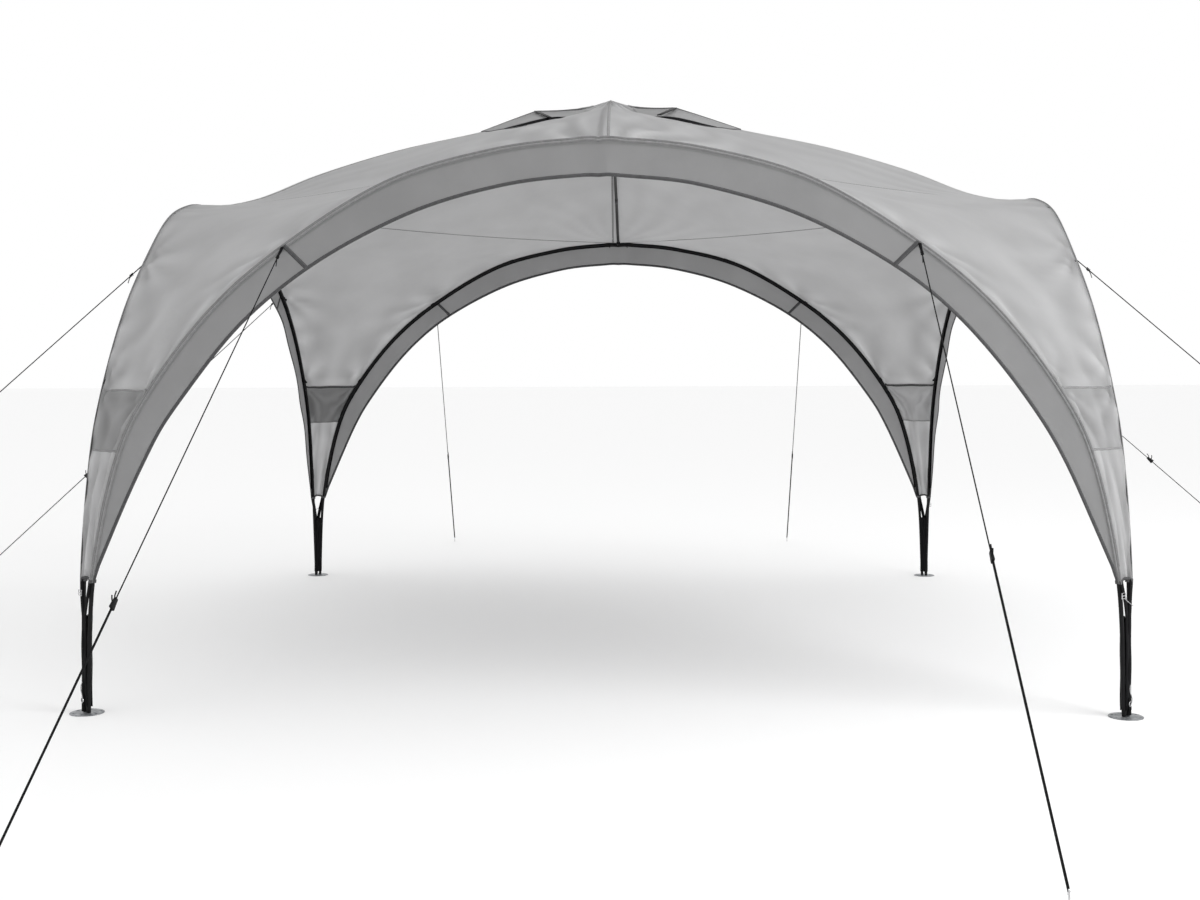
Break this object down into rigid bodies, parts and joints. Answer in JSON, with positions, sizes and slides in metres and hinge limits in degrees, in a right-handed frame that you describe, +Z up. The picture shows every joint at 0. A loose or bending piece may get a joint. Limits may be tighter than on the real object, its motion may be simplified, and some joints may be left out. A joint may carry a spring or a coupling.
{
  "type": "party tent",
  "caption": "Square event shelter with bent side arches, ridge poles under a vented fabric roof, hanging valances and guy lines pegged all round.",
  "frame": {"origin": "middle of the square between the four feet, at ground level", "axes": "+Z up, -Y towards the front arch, +X to the right seen from the front"},
  "size_m": [9.0029, 9.003, 3.0501],
  "materials": {
    "steel": "satin black powder coat",
    "zinc": "zinc plated",
    "plastic": "matt black moulded",
    "roof_cloth": "coated polyester",
    "valance_cloth": "coated polyester, darker",
    "webbing": "woven webbing",
    "rope": "braided cord"
  },
  "bodies": {
    "root": {"apex_hub_back": "plastic", "apex_hub_front": "plastic", "apex_hub_left": "plastic", "apex_hub_right": "plastic", "arch_pole_back_at_back_left": "steel", "arch_pole_back_at_back_right": "steel", "arch_pole_front_at_front_left": "steel", "arch_pole_front_at_front_right": "steel", "arch_pole_left_at_back_left": "steel", "arch_pole_left_at_front_left": "steel", "arch_pole_right_at_back_right": "steel", "arch_pole_right_at_front_right": "steel", "crown_hub": "plastic", "foot_plate_back_left": "zinc", "foot_plate_back_right": "zinc", "foot_plate_front_left": "zinc", "foot_plate_front_right": "zinc", "guy_line_back_at_back_left": "rope", "guy_line_back_at_back_right": "rope", "guy_line_front_at_front_left": "rope", "guy_line_front_at_front_right": "rope", "guy_line_left_at_back_left": "rope", "guy_line_left_at_front_left": "rope", "guy_line_right_at_back_right": "rope", "guy_line_right_at_front_right": "rope", "leg_pocket_back_left": "valance_cloth", "leg_pocket_back_right": "valance_cloth", "leg_pocket_front_left": "valance_cloth", "leg_pocket_front_right": "valance_cloth", "leg_skirt_back_left": "roof_cloth", "leg_skirt_back_right": "roof_cloth", "leg_skirt_front_left": "roof_cloth", "leg_skirt_front_right": "roof_cloth", "leg_strap_back_left": "webbing", "leg_strap_back_right": "webbing", "leg_strap_front_left": "webbing", "leg_strap_front_right": "webbing", "ridge_pole_back": "steel", "ridge_pole_front": "steel", "ridge_pole_left": "steel", "ridge_pole_right": "steel", "roof_corner_back_left": "roof_cloth", "roof_corner_back_right": "roof_cloth", "roof_corner_front_left": "roof_cloth", "roof_corner_front_right": "roof_cloth", "roof_crown": "roof_cloth", "valance_back": "valance_cloth", "valance_front": "valance_cloth", "valance_left": "valance_cloth", "valance_right": "valance_cloth", "vent_hood_left": "roof_cloth", "vent_hood_right": "roof_cloth", "vent_strut_left": "plastic", "vent_strut_right": "plastic"}
  },
  "joints": []
}
